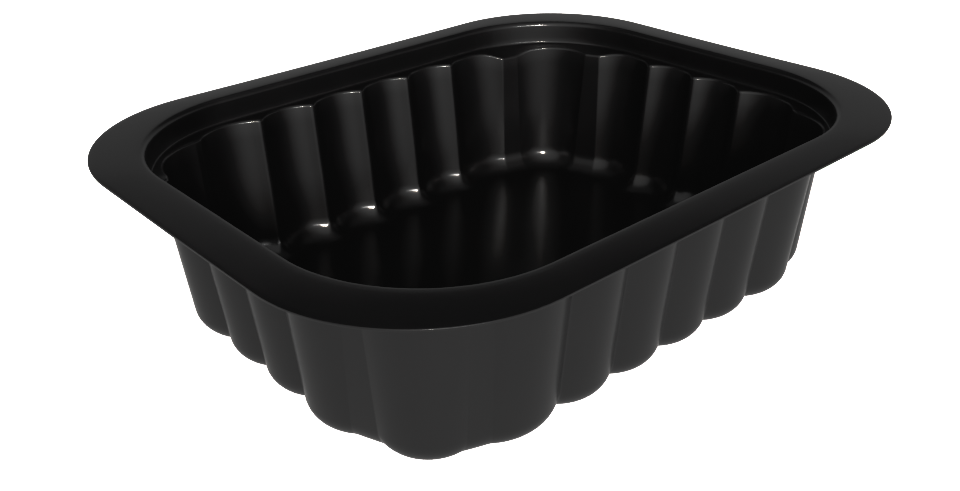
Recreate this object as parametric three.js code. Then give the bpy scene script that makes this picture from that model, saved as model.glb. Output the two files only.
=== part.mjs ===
// An empty, glossy black food tray, formed in one piece from a thin plastic sheet.
// A wide flat rim runs round a rounded mouth and droops a little towards its edge. A short plain
// neck drops from the mouth to a narrow step, and from there fluted walls taper down to a flat
// floor. Each wall is a row of upright flutes that bulge outward and meet in upright ridges, and
// each corner has one wide flute between two narrow strips. Turned half round about Z, the tray
// looks the same, but its flutes aren't quite centred on the sides.
//
// Units are millimetres. The origin is the middle of the underside, X runs along the long side,
// Y along the short side and Z up.

import * as THREE from 'three';

// ---- Driving dimensions -------------------------------------------------------------------

const RIM = { x: 227, y: 178, corner: 49 }; // outer size of the rim and its corner radius
const HEIGHT = 59; // underside to the top of the rim
const SHEET = 0.7; // thickness of the formed sheet

const MOUTH = { x: 199.2, y: 152.6, corner: 44.5 }; // opening at the top of the neck
const RIM_DROOP = 1.2; // fall of the rim from the lip to its edge
const CORNER_RISE = 0.6; // the rim's corners droop this much less
const LIP_RADIUS = 1.8; // rounding between the rim and the neck
const NECK_DEPTH = 8.5; // top of the rim down to the step
const NECK_TAPER = 0.8; // lean of the neck inward over its depth

const RIDGE_INSET = { x: 6.9, y: 6.1 }; // foot of the neck to the ridges, at the step
const WALL_TAPER = 5.4; // lean of the ridges inward, from the step to the floor
const LONG_SIDE = { flutes: 6, pitch: 21.2, shift: 2.6, depth: 5.3 }; // flutes along X
const SHORT_SIDE = { flutes: 4, pitch: 20.1, shift: 3.8, depth: 6.1 }; // flutes along Y
const FLOOR_DEPTH = 4.3; // bulge of a flute from the line of its ridges, at the floor
const RIDGE_RADIUS = 1.8; // rounding of a ridge on the inside of the tray

// The four ridges of a corner, anticlockwise. They are the ends of its two sides, and between
// them the two edges of its wide flute. The walls of the wide corner stand almost upright.
const WIDE_CORNER = [ // at +X +Y, and turned half round
  { step: { x: 90.7, y: 39.3 }, floor: { x: 88, y: 37.4 } },
  { step: { x: 88.3, y: 44.7 }, floor: { x: 84.8, y: 46 } },
  { step: { x: 70.5, y: 65 }, floor: { x: 70.9, y: 62.5 } },
  { step: { x: 63.9, y: 66.6 }, floor: { x: 63.8, y: 65 } },
];
const TIGHT_CORNER = [ // at -X +Y, and turned half round
  { step: { x: -68.4, y: 68.9 }, floor: { x: -67, y: 64.2 } },
  { step: { x: -71, y: 67.9 }, floor: { x: -69.6, y: 62.8 } },
  { step: { x: -89.8, y: 49.6 }, floor: { x: -85.6, y: 48.4 } },
  { step: { x: -90.9, y: 47.2 }, floor: { x: -86.6, y: 45.8 } },
];
const CORNER_DEPTH = 5; // bulge of a corner flute
const STRIP_DEPTH = 0.02; // bulge of a narrow strip, which is almost flat

// The step sinks a little at the narrow strips of the wide corners.
const DIPS = [{ x: 89.5, y: 42, depth: 1 }, { x: 67.2, y: 65.8, depth: 2.3 }];
const DIP_REACH = 7; // distance at which a dip is half as deep

const SHOULDER_RADIUS = 0.6; // rounding from a wall up to the step
const TOE_RADIUS = 7.5; // rounding from a wall down to the floor

// ---- How finely the round stretches are divided -------------------------------------------

const FLUTE_STEPS = 5;
const CORNER_STEPS = 8;
const STRIP_STEPS = 1;
const RIDGE_STEPS = 2;
const TOE_STEPS = 3;
const SHOULDER_STEPS = 2;
const LIP_STEPS = 2;

// ---- Sizes that follow --------------------------------------------------------------------

const QUARTER_TURN = Math.PI / 2;
const STEP_Z = HEIGHT - NECK_DEPTH;
const NECK_FOOT = grown(MOUTH, -NECK_TAPER);
const RIDGE_LINE = { x: NECK_FOOT.x / 2 - RIDGE_INSET.x, y: NECK_FOOT.y / 2 - RIDGE_INSET.y };

// A rounded rectangle whose sides lie further out.
function grown(box, by) {
  return { x: box.x + 2 * by, y: box.y + 2 * by, corner: box.corner + by };
}

function mix(from, to, share) {
  return from + (to - from) * share;
}

// ---- Plan of the fluted wall --------------------------------------------------------------

// Places of the ridges between the flutes of one side, which are shifted along it.
function ridgePlaces({ flutes, pitch, shift }) {
  return Array.from({ length: flutes - 1 }, (_, i) => (i + 1 - flutes / 2) * pitch - shift);
}

// Half the outline, anticlockwise from the -Y end of the +X side, at a share of the way down
// from the step to the floor: a list of stretches, each starting at a ridge point.
function halfOutline(down) {
  const side = { x: RIDGE_LINE.x - WALL_TAPER * down, y: RIDGE_LINE.y - WALL_TAPER * down };
  const shortFlute = { depth: mix(SHORT_SIDE.depth, FLOOR_DEPTH, down), steps: FLUTE_STEPS };
  const longFlute = { depth: mix(LONG_SIDE.depth, FLOOR_DEPTH, down), steps: FLUTE_STEPS };
  const strip = { depth: STRIP_DEPTH, steps: STRIP_STEPS };
  const wide = { depth: CORNER_DEPTH, steps: CORNER_STEPS };
  const lowered = ({ step, floor }) => (
    { x: mix(step.x, floor.x, down), y: mix(step.y, floor.y, down) }
  );
  const first = WIDE_CORNER.map(lowered);
  const second = TIGHT_CORNER.map(lowered);
  return [
    { start: { x: -second[3].x, y: -second[3].y }, ...shortFlute },
    ...ridgePlaces(SHORT_SIDE).map((y) => ({ start: { x: side.x, y }, ...shortFlute })),
    { start: first[0], ...strip },
    { start: first[1], ...wide },
    { start: first[2], ...strip },
    { start: first[3], ...longFlute },
    ...ridgePlaces(LONG_SIDE).reverse().map((x) => ({ start: { x, y: side.y }, ...longFlute })),
    { start: second[0], ...strip },
    { start: second[1], ...wide },
    { start: second[2], ...strip },
  ];
}

// The circle through both points that bulges by depth to the right of the way between them.
function bulge(from, to, depth) {
  const chord = Math.hypot(to.x - from.x, to.y - from.y);
  const radius = (chord * chord / 4 + depth * depth) / (2 * depth);
  const back = (radius - depth) / chord;
  const x = (from.x + to.x) / 2 - (to.y - from.y) * back;
  const y = (from.y + to.y) / 2 + (to.x - from.x) * back;
  return { x, y, radius };
}

// The centre of the circle that rounds the corner where two bulging circles cross.
function rounding(before, after, radius, crossing) {
  const dx = after.x - before.x;
  const dy = after.y - before.y;
  const apart = Math.hypot(dx, dy);
  const reach = before.radius + radius;
  const along = (apart ** 2 + reach ** 2 - (after.radius + radius) ** 2) / (2 * apart);
  const off = Math.sqrt(reach ** 2 - along ** 2);
  const candidates = [off, -off].map((side) => ({
    x: before.x + (dx * along - dy * side) / apart,
    y: before.y + (dy * along + dx * side) / apart,
  }));
  const distance = (point) => Math.hypot(point.x - crossing.x, point.y - crossing.y);
  return candidates.sort((a, b) => distance(a) - distance(b))[0];
}

// Points of an arc about centre, from the direction of one point to that of another.
function arc(centre, radius, from, to, steps) {
  const start = Math.atan2(from.y - centre.y, from.x - centre.x);
  const turn = Math.atan2(to.y - centre.y, to.x - centre.x) - start;
  const sweep = Math.atan2(Math.sin(turn), Math.cos(turn));
  return Array.from({ length: steps + 1 }, (_, i) => {
    const angle = start + sweep * i / steps;
    return { x: centre.x + radius * Math.cos(angle), y: centre.y + radius * Math.sin(angle) };
  });
}

// How far the step has sunk at a point of the wall's top.
function dip(point) {
  return DIPS.reduce((sum, { x, y, depth }) => {
    const away = Math.min(
      Math.hypot(point.x - x, point.y - y),
      Math.hypot(point.x + x, point.y + y),
    );
    return sum + depth / (1 + (away / DIP_REACH) ** 4);
  }, 0);
}

// The wall's outline at height z, moved inward by an even distance. Below the step, the ring
// sinks with it, but less and less towards the floor.
function wallRing(z, inward) {
  const half = halfOutline((STEP_Z - z) / (STEP_Z - SHEET));
  const turned = half.map((part) => ({ ...part, start: { x: -part.start.x, y: -part.start.y } }));
  const parts = [...half, ...turned];
  const circles = parts.map((part, i) => (
    bulge(part.start, parts[(i + 1) % parts.length].start, part.depth)
  ));
  const ridges = circles.map((circle, i) => (
    rounding(circles.at(i - 1), circle, RIDGE_RADIUS, parts[i].start)
  ));
  return circles.flatMap((circle, i) => {
    const next = ridges[(i + 1) % ridges.length];
    const ridge = arc(ridges[i], RIDGE_RADIUS + inward, circles.at(i - 1), circle, RIDGE_STEPS);
    const flute = arc(circle, circle.radius - inward, ridges[i], next, parts[i].steps);
    return [...ridge.slice(1, -1), ...flute];
  }).map((point) => {
    const sunk = dip(point) * (z - SHEET) / (STEP_Z - SHEET);
    return new THREE.Vector3(point.x, point.y, z - sunk);
  });
}

// ---- Plain rings of the neck and the rim --------------------------------------------------

// Each plain ring has the points of a rounded rectangle that lie nearest to the wall's top.
const GUIDE = wallRing(STEP_Z, 0);

function plainRing(box, height) {
  return GUIDE.map((point) => {
    const middle = { x: box.x / 2 - box.corner, y: box.y / 2 - box.corner };
    const dx = Math.max(Math.abs(point.x) - middle.x, 0);
    const dy = Math.max(Math.abs(point.y) - middle.y, 0);
    const scale = box.corner / Math.hypot(dx, dy);
    const x = Math.sign(point.x) * (Math.min(Math.abs(point.x), middle.x) + dx * scale);
    const y = Math.sign(point.y) * (Math.min(Math.abs(point.y), middle.y) + dy * scale);
    return new THREE.Vector3(x, y, height(x, y));
  });
}

const level = (z) => () => z;

// The rim's edge, which hangs a little below the lip and least at the corners.
function rimEdge(below) {
  return plainRing(RIM, (x, y) => {
    const cornerness = (2 * x / RIM.x) ** 2 * (2 * y / RIM.y) ** 2;
    return HEIGHT - RIM_DROOP + CORNER_RISE * cornerness - below;
  });
}

// The rounding between neck and rim, from the neck up, on the face at a radius.
function lipRings(radius) {
  return Array.from({ length: LIP_STEPS + 1 }, (_, i) => {
    const angle = QUARTER_TURN * i / LIP_STEPS;
    const box = grown(MOUTH, LIP_RADIUS - radius * Math.cos(angle));
    return plainRing(box, level(HEIGHT - LIP_RADIUS + radius * Math.sin(angle)));
  });
}

// ---- Rounded rings of the wall ------------------------------------------------------------

// The rounding between floor and wall, from the floor up, on the face at a radius.
function toeRings(radius) {
  return Array.from({ length: TOE_STEPS + 1 }, (_, i) => {
    const angle = QUARTER_TURN * i / TOE_STEPS;
    const z = SHEET + TOE_RADIUS - radius * Math.cos(angle);
    return wallRing(z, TOE_RADIUS - radius * Math.sin(angle));
  });
}

// The rounding at the top of the wall, from the wall up to the step.
function shoulderRings() {
  return Array.from({ length: SHOULDER_STEPS + 1 }, (_, i) => {
    const angle = QUARTER_TURN * i / SHOULDER_STEPS;
    const z = STEP_Z - SHOULDER_RADIUS * (1 - Math.sin(angle));
    return wallRing(z, -SHOULDER_RADIUS * (1 - Math.cos(angle)));
  });
}

// ---- The tray as one closed skin ----------------------------------------------------------

function trayRings() {
  const inside = [
    ...toeRings(TOE_RADIUS),
    ...shoulderRings(),
    plainRing(NECK_FOOT, level(STEP_Z)),
    ...lipRings(LIP_RADIUS),
    rimEdge(0),
  ];
  const underside = [
    rimEdge(SHEET),
    ...lipRings(LIP_RADIUS - SHEET).reverse(),
    plainRing(grown(NECK_FOOT, SHEET), level(STEP_Z - SHEET)),
    wallRing(STEP_Z - SHEET, -SHEET),
    ...toeRings(TOE_RADIUS + SHEET).reverse(),
  ];
  return [...inside, ...underside];
}

// Triangles that fill a flat ring, facing up.
function fill(ring) {
  const contour = ring.map((point) => new THREE.Vector2(point.x, point.y));
  return THREE.ShapeUtils.triangulateShape(contour, []).map((face) => {
    const facesUp = !THREE.ShapeUtils.isClockWise(face.map((i) => contour[i]));
    return facesUp ? face : [...face].reverse();
  });
}

function traySkin() {
  const rings = trayRings();
  const count = rings[0].length;
  const lastRing = (rings.length - 1) * count;
  const faces = fill(rings[0]);
  for (let row = 0; row < lastRing; row += count) {
    for (let i = 0; i < count; i += 1) {
      const next = (i + 1) % count;
      const outer = row + count;
      faces.push([row + i, outer + i, outer + next], [row + i, outer + next, row + next]);
    }
  }
  for (const [a, b, c] of fill(rings.at(-1))) {
    faces.push([lastRing + c, lastRing + b, lastRing + a]);
  }
  const geometry = new THREE.BufferGeometry().setFromPoints(rings.flat());
  geometry.setIndex(faces.flat());
  geometry.computeVertexNormals();
  return geometry;
}

const tray = new THREE.Mesh(
  traySkin(),
  new THREE.MeshStandardMaterial({ color: 0x0b0b0c, roughness: 0.22, metalness: 0 }),
);
tray.name = 'tray';

const container = new THREE.Group();
container.add(tray);

export default container;
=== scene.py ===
# %% [markdown]
# # An empty black food tray
# A ready-meal tray starts as a flat sheet of black plastic. The sheet is heated, drawn over a
# mould and cut out round the rim, so the whole tray is one thin skin with no joins. This lesson
# draws it the same way, as one surface from the middle of the floor out to the edge of the rim,
# and gives the surface its thickness at the end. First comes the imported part, which fixes the
# tray's place and size.

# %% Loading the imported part
from math import atan2, cos, hypot, pi, radians, sin

import bmesh
import bpy
from mathutils import Matrix, Vector


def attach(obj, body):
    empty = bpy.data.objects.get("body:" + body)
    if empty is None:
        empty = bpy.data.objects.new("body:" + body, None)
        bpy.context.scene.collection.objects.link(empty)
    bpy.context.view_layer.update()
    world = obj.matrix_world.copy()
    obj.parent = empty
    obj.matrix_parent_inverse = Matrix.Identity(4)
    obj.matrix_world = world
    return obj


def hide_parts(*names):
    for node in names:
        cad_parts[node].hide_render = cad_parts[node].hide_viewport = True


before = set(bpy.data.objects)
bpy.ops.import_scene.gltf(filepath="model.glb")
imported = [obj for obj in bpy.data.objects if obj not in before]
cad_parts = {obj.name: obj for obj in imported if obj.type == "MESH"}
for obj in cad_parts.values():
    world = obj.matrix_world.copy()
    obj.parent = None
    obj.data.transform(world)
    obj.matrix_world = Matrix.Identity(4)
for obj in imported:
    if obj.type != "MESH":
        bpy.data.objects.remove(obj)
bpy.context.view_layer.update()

MM = 0.001

# %% [markdown]
# ## The sizes
# The rim has the usual size of a sealed ready-meal tray, and the rest was measured against it.
# A named size can be changed in one place, so every number of the mould stands here.

# %% The sizes of the tray
RIM = {"x": 227 * MM, "y": 178 * MM, "corner": 49 * MM}
HEIGHT = 59 * MM
SHEET = 0.7 * MM

MOUTH = {"x": 199.2 * MM, "y": 152.6 * MM, "corner": 44.5 * MM}
RIM_DROOP = 1.2 * MM
CORNER_RISE = 0.6 * MM
LIP_RADIUS = 1.8 * MM
NECK_DEPTH = 8.5 * MM
NECK_TAPER = 0.2 * MM

RIDGE_INSET = {"x": 7.5 * MM, "y": 6.7 * MM}
WALL_TAPER = 5.4 * MM
LONG_SIDE = {"flutes": 6, "pitch": 21.2 * MM, "shift": 2.6 * MM, "depth": 5.1 * MM}
SHORT_SIDE = {"flutes": 4, "pitch": 20.1 * MM, "shift": 3.8 * MM, "depth": 5.9 * MM}
FLOOR_DEPTH = 4.3 * MM
RIDGE_RADIUS = 1.8 * MM

WIDE_CORNER = [
    {"step": Vector((90.7, 39.3)) * MM, "floor": Vector((88, 37.4)) * MM},
    {"step": Vector((88.3, 44.7)) * MM, "floor": Vector((84.8, 46)) * MM},
    {"step": Vector((70.5, 65)) * MM, "floor": Vector((70.9, 62.5)) * MM},
    {"step": Vector((63.9, 66.6)) * MM, "floor": Vector((63.8, 65)) * MM},
]
TIGHT_CORNER = [
    {"step": Vector((-68.4, 68.9)) * MM, "floor": Vector((-67, 64.2)) * MM},
    {"step": Vector((-71, 67.9)) * MM, "floor": Vector((-69.6, 62.8)) * MM},
    {"step": Vector((-89.8, 49.6)) * MM, "floor": Vector((-85.6, 48.4)) * MM},
    {"step": Vector((-90.9, 47.2)) * MM, "floor": Vector((-86.6, 45.8)) * MM},
]
CORNER_DEPTH = 5 * MM
STRIP_DEPTH = 0.02 * MM
STEP_DIPS = [
    {"at": Vector((89.5, 42)) * MM, "depth": 1 * MM},
    {"at": Vector((67.2, 65.8)) * MM, "depth": 2.3 * MM},
]
DIP_REACH = 7 * MM
DIP_STEEPNESS = 4

SHOULDER_RADIUS = 0.9 * MM
NECK_FILLET = 0.7 * MM
TOE_RADIUS = 7.5 * MM
STEP_Z = HEIGHT - NECK_DEPTH

FLUTE_STEPS = 12
CORNER_STEPS = 30
STRIP_STEPS = 3
RIDGE_STEPS = 6


def grown(box, by):
    """A rounded rectangle whose sides lie further out."""
    return {"x": box["x"] + 2 * by, "y": box["y"] + 2 * by, "corner": box["corner"] + by}


NECK_FOOT = grown(MOUTH, -NECK_TAPER)
RIDGE_LINE = Vector((NECK_FOOT["x"] / 2 - RIDGE_INSET["x"], NECK_FOOT["y"] / 2 - RIDGE_INSET["y"]))
print("the ridges stand", [round(number / MM, 1) for number in RIDGE_LINE], "mm from the middle at the step")

# %% [markdown]
# ## The plan of the fluted wall
# Seen from above, the wall is a row of arcs that bulge outward. Each arc runs from one ridge
# point to the next, and a much smaller arc rounds the ridge between them. A compass does both:
# one circle goes through two ridge points, and the small circle is the one that touches both of
# its neighbours. Because all the arcs keep their centres, the whole plan can be moved inward
# evenly, which the rounding at the floor needs later.
#
# Every corner has one large flute between two almost flat strips. At two opposite corners the
# strips are wide, and the step has sunk beside them. At the other two the strips are narrow. The
# tray is the same when it is turned half round, so half of the plan is enough.


# %% Where the ridges stand
def ridge_places(side):
    """Places of the ridges between the flutes of one side, which are shifted along it."""
    flutes = side["flutes"]
    return [(number - flutes / 2) * side["pitch"] - side["shift"] for number in range(1, flutes)]


def mix(start, end, share):
    """The number or point that is a share of the way from start to end."""
    return start + (end - start) * share


def half_outline(down):
    """Half of the plan, anticlockwise, at a share of the way down: each arc's start, bulge and steps."""
    side = RIDGE_LINE - Vector((WALL_TAPER, WALL_TAPER)) * down
    short_flute = (mix(SHORT_SIDE["depth"], FLOOR_DEPTH, down), FLUTE_STEPS)
    long_flute = (mix(LONG_SIDE["depth"], FLOOR_DEPTH, down), FLUTE_STEPS)
    corner = (CORNER_DEPTH, CORNER_STEPS)
    strip = (STRIP_DEPTH, STRIP_STEPS)
    wide = [mix(point["step"], point["floor"], down) for point in WIDE_CORNER]
    tight = [mix(point["step"], point["floor"], down) for point in TIGHT_CORNER]
    return [
        (-tight[3], *short_flute),
        *[(Vector((side.x, place)), *short_flute) for place in ridge_places(SHORT_SIDE)],
        (wide[0], *strip),
        (wide[1], *corner),
        (wide[2], *strip),
        (wide[3], *long_flute),
        *[(Vector((place, side.y)), *long_flute) for place in reversed(ridge_places(LONG_SIDE))],
        (tight[0], *strip),
        (tight[1], *corner),
        (tight[2], *strip),
    ]


print("half of the plan has", len(half_outline(0)), "arcs")


# %% The circles of the plan
def bulge(start, end, depth):
    """The circle through both points that bulges by depth to the right of the way between them."""
    way = end - start
    radius = (way.length**2 / 4 + depth**2) / (2 * depth)
    left = Vector((-way.y, way.x)).normalized()
    return (start + end) / 2 + left * (radius - depth), radius


def ridge_circle(before, after, crossing):
    """The centre of the small circle that rounds the ridge between two arcs."""
    way = after[0] - before[0]
    reach = before[1] + RIDGE_RADIUS
    other_reach = after[1] + RIDGE_RADIUS
    along = (way.length**2 + reach**2 - other_reach**2) / (2 * way.length)
    off = (reach**2 - along**2) ** 0.5
    unit = way.normalized()
    left = Vector((-unit.y, unit.x))
    both = [before[0] + unit * along + left * side for side in (off, -off)]
    return min(both, key=lambda centre: (centre - crossing).length)


def arc(centre, radius, start, end, steps):
    """Points on an arc about centre, from the direction of one point to that of another."""
    first = atan2(start.y - centre.y, start.x - centre.x)
    turn = atan2(end.y - centre.y, end.x - centre.x) - first
    sweep = atan2(sin(turn), cos(turn))
    angles = [first + sweep * step / steps for step in range(steps + 1)]
    return [centre + Vector((cos(angle), sin(angle))) * radius for angle in angles]


def dip(point):
    """How far the step has sunk at this point: most at the strips beside the corner flutes."""
    depth = 0
    for sink in STEP_DIPS:
        away = min((point - sink["at"]).length, (point + sink["at"]).length)
        depth += sink["depth"] / (1 + (away / DIP_REACH) ** DIP_STEEPNESS)
    return depth


def wall_ring(z, inward):
    """The wall's outline at height z, moved inward by an even distance."""
    half = half_outline((STEP_Z - z) / (STEP_Z - SHEET))
    arcs = half + [(-start, depth, steps) for start, depth, steps in half]
    circles = [bulge(arcs[i][0], arcs[(i + 1) % len(arcs)][0], arcs[i][1]) for i in range(len(arcs))]
    ridges = [ridge_circle(circles[i - 1], circles[i], arcs[i][0]) for i in range(len(arcs))]
    ring = []
    for i, (centre, radius) in enumerate(circles):
        after = ridges[(i + 1) % len(ridges)]
        ring += arc(ridges[i], RIDGE_RADIUS + inward, circles[i - 1][0], centre, RIDGE_STEPS)[1:-1]
        ring += arc(centre, radius - inward, ridges[i], after, arcs[i][2])
    return [Vector((point.x, point.y, z - dip(point) * (z - SHEET) / (STEP_Z - SHEET))) for point in ring]


GUIDE = wall_ring(STEP_Z, 0)
COUNT = len(GUIDE)
print("one ring of the tray has", COUNT, "points")

# %% [markdown]
# ## The rings of the neck and the rim
# Above the step the tray is a plain rounded rectangle. Each of its rings takes the points of the
# rounded rectangle that lie nearest to the wall's top, so every ring has the same number of
# points, and the faces between two rings are never twisted.


# %% Plain rings
def plain_ring(box, height):
    """A rounded rectangle with one point for each of the wall's top, and height(x, y) for its z."""
    ring = []
    middle = Vector((box["x"] / 2 - box["corner"], box["y"] / 2 - box["corner"]))
    for point in GUIDE:
        over_x = max(abs(point.x) - middle.x, 0)
        over_y = max(abs(point.y) - middle.y, 0)
        scale = box["corner"] / hypot(over_x, over_y)
        x = (min(abs(point.x), middle.x) + over_x * scale) * (1 if point.x > 0 else -1)
        y = (min(abs(point.y), middle.y) + over_y * scale) * (1 if point.y > 0 else -1)
        ring.append(Vector((x, y, height(x, y))))
    return ring


def level(z):
    """A rule that gives the same height everywhere."""
    return lambda x, y: z


print("the foot of the neck is", round(NECK_FOOT["x"] / MM, 1), "mm long")

# %% [markdown]
# ## Drawing the skin
# A disc is the start, at the middle of the floor. Its edge is extruded again and again, and after
# each extrusion the new edge is laid on the next ring: out over the floor, round the toe, up the
# wall, over the step, up the neck, round the lip and out over the rim. Every point carries its
# number in the ring, and an extruded point inherits it, so no ring can slip round.

# %% The disc at the middle of the floor
FLOOR_SHARES = [0.15, 0.3, 0.45, 0.6, 0.75, 0.88, 0.96]
flat_floor = wall_ring(SHEET, TOE_RADIUS)


def scaled(ring, share):
    """A ring of the flat floor, drawn in towards its middle."""
    return [Vector((point.x * share, point.y * share, point.z)) for point in ring]


bpy.ops.object.select_all(action="DESELECT")
bpy.ops.mesh.primitive_circle_add(vertices=COUNT, radius=10 * MM, fill_type="TRIFAN")
skin = bpy.context.object
skin.name = "tray_skin"
numbers = skin.data.attributes.new("ring_number", "INT", "POINT")
disc_edge = [vertex for vertex in skin.data.vertices if vertex.co.length > MM]
for number, vertex in enumerate(sorted(disc_edge, key=lambda vertex: atan2(vertex.co.y, vertex.co.x))):
    numbers.data[vertex.index].value = number
for vertex in skin.data.vertices:
    if vertex not in disc_edge:
        vertex.co = Vector((0, 0, SHEET))
        vertex.select = False
print("the disc has", len(disc_edge), "points round its edge")


# %% Extruding from ring to ring
def lay_edge(ring):
    """Moves each selected point to the place with its own number in the ring."""
    mesh = bmesh.from_edit_mesh(skin.data)
    number = mesh.verts.layers.int["ring_number"]
    for vertex in mesh.verts:
        if vertex.select:
            vertex.co = ring[vertex[number]]
    bmesh.update_edit_mesh(skin.data)


def draw_out(rings):
    """Extrudes the edge of the skin to each of these rings in turn."""
    for ring in rings:
        bpy.ops.mesh.extrude_edges_move()
        lay_edge(ring)


def faces_so_far():
    return len(bmesh.from_edit_mesh(skin.data).faces)


bpy.ops.object.mode_set(mode="EDIT")
bpy.ops.mesh.select_mode(type="VERT")
bpy.ops.mesh.select_all(action="DESELECT")
mesh = bmesh.from_edit_mesh(skin.data)
for vertex in mesh.verts:
    vertex.select_set(vertex.co.xy.length > MM)
for edge in mesh.edges:
    edge.select_set(edge.is_boundary)
bmesh.update_edit_mesh(skin.data)
bpy.ops.mesh.select_mode(type="EDGE")
lay_edge(scaled(flat_floor, FLOOR_SHARES[0]))
draw_out([scaled(flat_floor, share) for share in FLOOR_SHARES[1:]])
print("the floor has", faces_so_far(), "faces")

# %% [markdown]
# ## Toe, wall and step
# The rounding at the toe is a quarter circle: each ring is a little less far inward and a little
# higher than the last. The wall itself is straight, so a few rings are enough. The shoulder rolls
# over onto the step, and a small fillet, which shrinks where a flute comes near, turns the step up
# into the neck.

# %% The toe and the wall
TOE_STEPS = 10
WALL_STEPS = 8
SHOULDER_STEPS = 5
toe_angles = [pi / 2 * step / TOE_STEPS for step in range(TOE_STEPS + 1)]
toe_rings = [
    wall_ring(SHEET + TOE_RADIUS * (1 - cos(angle)), TOE_RADIUS * (1 - sin(angle))) for angle in toe_angles
]
draw_out(toe_rings)
toe_top = SHEET + TOE_RADIUS
wall_top = STEP_Z - SHOULDER_RADIUS
draw_out([wall_ring(mix(toe_top, wall_top, step / WALL_STEPS), 0) for step in range(1, WALL_STEPS)])
shoulder_angles = [pi / 2 * step / SHOULDER_STEPS for step in range(SHOULDER_STEPS + 1)]
shoulder_rings = [
    wall_ring(wall_top + SHOULDER_RADIUS * sin(angle), -SHOULDER_RADIUS * (1 - cos(angle)))
    for angle in shoulder_angles
]
draw_out(shoulder_rings)
print("with its wall the skin has", faces_so_far(), "faces")

# %% The step and the fillet at the foot of the neck
FILLET_STEPS = 3
MOST_OF_STEP = 0.9
step_edge = shoulder_rings[-1]
neck_foot = plain_ring(NECK_FOOT, level(STEP_Z))
for step in range(FILLET_STEPS + 1):
    angle = pi / 2 * step / FILLET_STEPS
    ring = []
    for inner, outer in zip(step_edge, neck_foot):
        radius = min(NECK_FILLET, MOST_OF_STEP * (outer - inner).length)
        back = (inner - outer).normalized() * radius * (1 - sin(angle))
        ring.append(outer + back + Vector((0, 0, radius * (1 - cos(angle)))))
    draw_out([ring])
print("with its step the skin has", faces_so_far(), "faces")

# %% [markdown]
# ## Neck, lip and rim
# The neck leans out a little, the lip is a quarter circle, and the rim is flat but hangs a little
# towards its edge, and less at the corners, because the sheet shrinks as it cools.

# %% The neck, the lip and the rim
NECK_STEPS = 3
LIP_STEPS = 8
RIM_STEPS = 8
LIP_Z = HEIGHT - LIP_RADIUS
DROOP_CURVE = 1.5


def lip_ring(angle):
    """A ring of the lip, at an angle of its quarter circle."""
    box = grown(MOUTH, LIP_RADIUS * (1 - cos(angle)))
    return plain_ring(box, level(LIP_Z + LIP_RADIUS * sin(angle)))


def rim_ring(share):
    """A ring of the rim's top, a share of the way out from the lip."""
    inner = grown(MOUTH, LIP_RADIUS)
    box = {name: mix(inner[name], RIM[name], share) for name in RIM}

    def height(x, y):
        cornerness = (2 * x / RIM["x"]) ** 2 * (2 * y / RIM["y"]) ** 2
        return HEIGHT - (RIM_DROOP - CORNER_RISE * cornerness) * share**DROOP_CURVE

    return plain_ring(box, height)


for step in range(1, NECK_STEPS):
    share = step / NECK_STEPS
    draw_out([plain_ring(grown(NECK_FOOT, NECK_TAPER * share), level(mix(STEP_Z, LIP_Z, share)))])
draw_out([lip_ring(pi / 2 * step / LIP_STEPS) for step in range(LIP_STEPS + 1)])
draw_out([rim_ring(step / RIM_STEPS) for step in range(1, RIM_STEPS + 1)])
bpy.ops.mesh.select_all(action="SELECT")
bpy.ops.mesh.normals_make_consistent(inside=False)
bpy.ops.object.mode_set(mode="OBJECT")
floor_face = min(skin.data.polygons, key=lambda face: face.center.length)
print("the skin has", len(skin.data.polygons), "faces, and the floor faces", round(floor_face.normal.z, 2))

# %% [markdown]
# ## Thickness and edge
# Solidify gives the skin the thickness of the sheet, on the outside, so the inside keeps its
# measured shape. The cut edge of the rim is the only sharp edge that is left, and a small bevel
# takes the sharpness off it, as the cutting die and handling do.

# %% Solidify and bevel
EDGE_ROUNDING = 0.2 * MM
EDGE_ANGLE = radians(60)
SMOOTH_ANGLE = radians(50)
skin.select_set(True)
bpy.context.view_layer.objects.active = skin
thickness = skin.modifiers.new("sheet", "SOLIDIFY")
thickness.thickness = SHEET
thickness.offset = -1
thickness.use_even_offset = True
bpy.ops.object.modifier_apply(modifier="sheet")
cut_edge = skin.modifiers.new("cut_edge", "BEVEL")
cut_edge.width = EDGE_ROUNDING
cut_edge.segments = 3
cut_edge.limit_method = "ANGLE"
cut_edge.angle_limit = EDGE_ANGLE
bpy.ops.object.modifier_apply(modifier="cut_edge")
bpy.ops.object.shade_smooth_by_angle(angle=SMOOTH_ANGLE)
skin.data.attributes.remove(skin.data.attributes["ring_number"])
print("the finished skin has", len(skin.data.polygons), "faces")

# %% [markdown]
# ## The plastic
# The sheet is black all the way through, so its colour hardly changes, and what the eye reads is
# gloss. The rolled sheet is smooth but never perfectly even: it keeps a slow waviness from the
# mould and a slightly uneven polish, and these give the soft look of its highlights.


# %% Shader sums written as Python
class Wire:
    """A socket of a material, which Python's own signs can add, subtract and multiply."""

    def __init__(self, tree, socket=None):
        self.tree = tree
        self.socket = socket

    def node(self, kind, settings, inputs, output=None):
        """Adds a node of this kind, sets it, fills its inputs and returns one output, if it has any."""
        node = self.tree.nodes.new(kind)
        for name, value in settings.items():
            setattr(node, name, value)
        for name, value in inputs.items():
            if isinstance(value, Wire):
                self.tree.links.new(value.socket, node.inputs[name])
            else:
                node.inputs[name].default_value = value
        return None if output is None else Wire(self.tree, node.outputs[output])

    def math(self, operation, first, second):
        return self.node("ShaderNodeMath", {"operation": operation}, {0: first, 1: second}, "Value")

    def __add__(self, other):
        return self.math("ADD", self, other)

    def __sub__(self, other):
        return self.math("SUBTRACT", self, other)

    def __rsub__(self, other):
        return self.math("SUBTRACT", other, self)

    def __mul__(self, other):
        return self.math("MULTIPLY", self, other)

    __radd__ = __add__
    __rmul__ = __mul__


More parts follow.
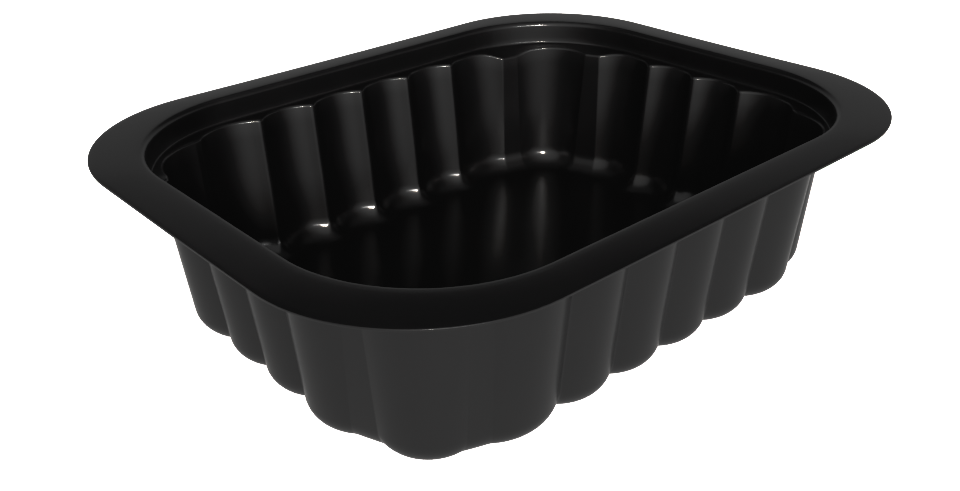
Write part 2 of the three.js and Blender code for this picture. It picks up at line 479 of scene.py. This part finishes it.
def new_material(name):
    """An empty material and the wire that starts its nodes."""
    material = bpy.data.materials.new(name)
    material.use_nodes = True
    material.node_tree.nodes.clear()
    return material, Wire(material.node_tree)


# %% The black plastic
WAVE_SIZE = 30 * MM
PATCH_SIZE = 12 * MM
GRAIN_SIZE = 0.8 * MM
WAVE_HEIGHT = 0.2 * MM
GRAIN_HEIGHT = 0.01 * MM
DEEP_BLACK = (0.003, 0.003, 0.0034, 1)
WARM_BLACK = (0.006, 0.0054, 0.0056, 1)
ROUGHNESS = 0.5
NOISE_MEAN = 0.5

black_plastic, wire = new_material("black_plastic")
position = wire.node("ShaderNodeTexCoord", {}, {}, "Object")


def noise(size, detail):
    """Noise with blotches about as large as size, in metres, whose mean is NOISE_MEAN."""
    inputs = {"Vector": position, "Scale": 1 / size, "Detail": detail}
    return wire.node("ShaderNodeTexNoise", {}, inputs, "Fac")


waviness = noise(WAVE_SIZE, 1.0)
patches = noise(PATCH_SIZE, 3.0)
grain = noise(GRAIN_SIZE, 2.0)
# A Mix node for colours takes them at its inputs 6 and 7, and gives the mixed one at its output 2.
colour = wire.node(
    "ShaderNodeMix",
    {"data_type": "RGBA"},
    {"Factor": patches, 6: DEEP_BLACK, 7: WARM_BLACK},
    2,
)
gloss = ROUGHNESS + (patches - NOISE_MEAN) * 0.05 + (grain - NOISE_MEAN) * 0.03
slow_bump = wire.node(
    "ShaderNodeBump",
    {},
    {"Height": waviness, "Distance": WAVE_HEIGHT, "Strength": 0.4},
    "Normal",
)
fine_bump = wire.node(
    "ShaderNodeBump",
    {},
    {"Height": grain, "Distance": GRAIN_HEIGHT, "Strength": 0.3, "Normal": slow_bump},
    "Normal",
)
plastic = wire.node(
    "ShaderNodeBsdfPrincipled",
    {},
    {
        "Base Color": colour,
        "Roughness": gloss,
        "Normal": fine_bump,
        "IOR": 1.49,
        "Coat Weight": 0.6,
        "Coat Roughness": 0.2,
    },
    "BSDF",
)
wire.node("ShaderNodeOutputMaterial", {}, {"Surface": plastic})
skin.data.materials.clear()
skin.data.materials.append(black_plastic)
print("the black plastic has", len(wire.tree.nodes), "nodes")

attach(skin, "root")
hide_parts("tray")

# %% [markdown]
# ## The studio
# A black tray shows little but what it reflects, so each light has its own place. The floor is
# pale and glows a little, as if lit from below, and stays white beside the tray. A softbox lights
# the outside, and a small warm light near the camera, like a camera's own flash, puts a highlight
# on each rounding. The surroundings are bright low down behind the tray, for the sheen on its rim,
# with a little light above and at one side.

# %% The floor
FLOOR_SIZE = 40
FLOOR_GREY = (0.6, 0.6, 0.6, 1)
FLOOR_GLOW = 0.13
bpy.ops.object.select_all(action="DESELECT")
bpy.ops.mesh.primitive_plane_add(size=FLOOR_SIZE)
studio_floor = bpy.context.object
studio_floor.name = "studio_floor"
pale_floor, wire = new_material("pale_floor")
matt = wire.node("ShaderNodeBsdfDiffuse", {}, {"Color": FLOOR_GREY}, "BSDF")
lit_below = wire.node("ShaderNodeEmission", {}, {"Strength": FLOOR_GLOW}, "Emission")
both = wire.node("ShaderNodeAddShader", {}, {0: matt, 1: lit_below}, "Shader")
wire.node("ShaderNodeOutputMaterial", {}, {"Surface": both})
studio_floor.data.materials.append(pale_floor)
print("the studio's floor is", FLOOR_SIZE, "m wide")

# %% The camera, at the photograph's viewing angle
AZIMUTH = radians(-40.15)
ELEVATION = radians(25.34)
ROLL = radians(-1.41)
TARGET = Vector((-48, -32.5, 57.8)) * MM
DISTANCE = 278.3 * MM
FOCAL_PIXELS = 1045
SENSOR = 36
PICTURE_WIDTH = 960
PICTURE_HEIGHT = 491
CENTRE = (451.5, 196.8)

bpy.ops.object.camera_add()
camera = bpy.context.object
camera.name = "camera"
turn = Matrix.Rotation(AZIMUTH, 4, "Z") @ Matrix.Rotation(pi / 2 - ELEVATION, 4, "X")
turn = turn @ Matrix.Rotation(ROLL, 4, "Z")
backward = Vector((sin(AZIMUTH) * cos(ELEVATION), -cos(AZIMUTH) * cos(ELEVATION), sin(ELEVATION)))
camera.matrix_world = Matrix.Translation(TARGET + backward * DISTANCE) @ turn
camera.data.sensor_width = SENSOR
camera.data.lens = FOCAL_PIXELS * SENSOR / PICTURE_WIDTH
camera.data.shift_x = (PICTURE_WIDTH / 2 - CENTRE[0]) / PICTURE_WIDTH
camera.data.shift_y = (CENTRE[1] - PICTURE_HEIGHT / 2) / PICTURE_WIDTH
camera.data.clip_start = 10 * MM
bpy.context.scene.camera = camera
print("the camera's lens is", round(camera.data.lens, 1), "mm long")

# %% The softbox and the flash
LIGHT_DISTANCE = 1.5


def direction(azimuth, elevation):
    """The unit vector towards a place in the studio, by its angles in degrees."""
    around = radians(azimuth)
    up = radians(elevation)
    return Vector((sin(around) * cos(up), -cos(around) * cos(up), sin(up)))


def light(kind, name, azimuth, elevation, energy):
    """A light that shines on the tray from this direction."""
    towards = direction(azimuth, elevation)
    bpy.ops.object.light_add(type=kind, location=towards * LIGHT_DISTANCE)
    lamp = bpy.context.object
    lamp.name = name
    lamp.rotation_euler = towards.to_track_quat("Z", "Y").to_euler()
    lamp.data.energy = energy
    return lamp.data


softbox = light("AREA", "softbox", azimuth=-24, elevation=20, energy=7.2)
softbox.shape = "RECTANGLE"
softbox.size = 0.8
softbox.size_y = 0.3
flash = light("SUN", "flash", azimuth=-35, elevation=27, energy=0.5)
flash.angle = radians(4.5)
flash.color = (1, 0.95, 0.9)
print("the softbox has", round(softbox.energy, 1), "W, and the flash a strength of", flash.energy)

# %% The surroundings
BEHIND_TRAY = 140
world = bpy.data.worlds.new("studio")
world.use_nodes = True
bpy.context.scene.world = world
wire = Wire(world.node_tree)
world.node_tree.nodes.clear()
ray = wire.node("ShaderNodeTexCoord", {}, {}, "Generated")


def along(vector):
    """How far the direction of view points along a vector."""
    return wire.node("ShaderNodeVectorMath", {"operation": "DOT_PRODUCT"}, {0: ray, 1: vector}, "Value")


def ramp(value, low, high, start, end):
    """A smooth change from start to end while value goes from low to high."""
    inputs = {"Value": value, "From Min": low, "From Max": high, "To Min": start, "To Max": end}
    return wire.node("ShaderNodeMapRange", {"interpolation_type": "SMOOTHSTEP"}, inputs, "Result")


rise = along(Vector((0, 0, 1)))
backdrop = ramp(rise, low=0.3, high=0.64, start=0.19, end=0.01)
horizon = ramp(rise, low=0.05, high=0.28, start=0.08, end=0)
behind = ramp(along(direction(BEHIND_TRAY, 0)), low=-0.3, high=0.2, start=0.4, end=1)
overhead = ramp(rise, low=0.68, high=0.95, start=0, end=0.13)
fill = ramp(along(direction(-55, 38)), low=0.78, high=0.95, start=0, end=0.45)
brightness = (backdrop + horizon) * behind + overhead + fill
sky = wire.node("ShaderNodeBackground", {}, {"Strength": brightness}, "Background")
wire.node("ShaderNodeOutputWorld", {}, {"Surface": sky})
print("the surroundings have", len(wire.tree.nodes), "nodes")

# %% [markdown]
# ## The tones of the picture
# The photograph has deep blacks and a pure white ground. A curve does the same here: each pair is
# a brightness of the scene and the one that it gets in the picture.

# %% The tones of the picture
ALL_COLOURS = 3
TONES = [
    (0, 0.0018),
    (0.003, 0.0025),
    (0.0055, 0.0035),
    (0.009, 0.0085),
    (0.013, 0.0165),
    (0.02, 0.0255),
    (0.035, 0.0375),
    (0.05, 0.05),
    (0.08, 0.085),
    (0.12, 0.24),
    (0.17, 0.85),
    (0.2, 1),
]
view = bpy.context.scene.view_settings
view.view_transform = "Standard"
view.use_curve_mapping = True
tones = view.curve_mapping.curves[ALL_COLOURS]
tones.points[0].location = TONES[0]
tones.points[1].location = TONES[-1]
for tone in TONES[1:-1]:
    tones.points.new(*tone)
view.curve_mapping.update()
print("the tone curve has", len(tones.points), "points")
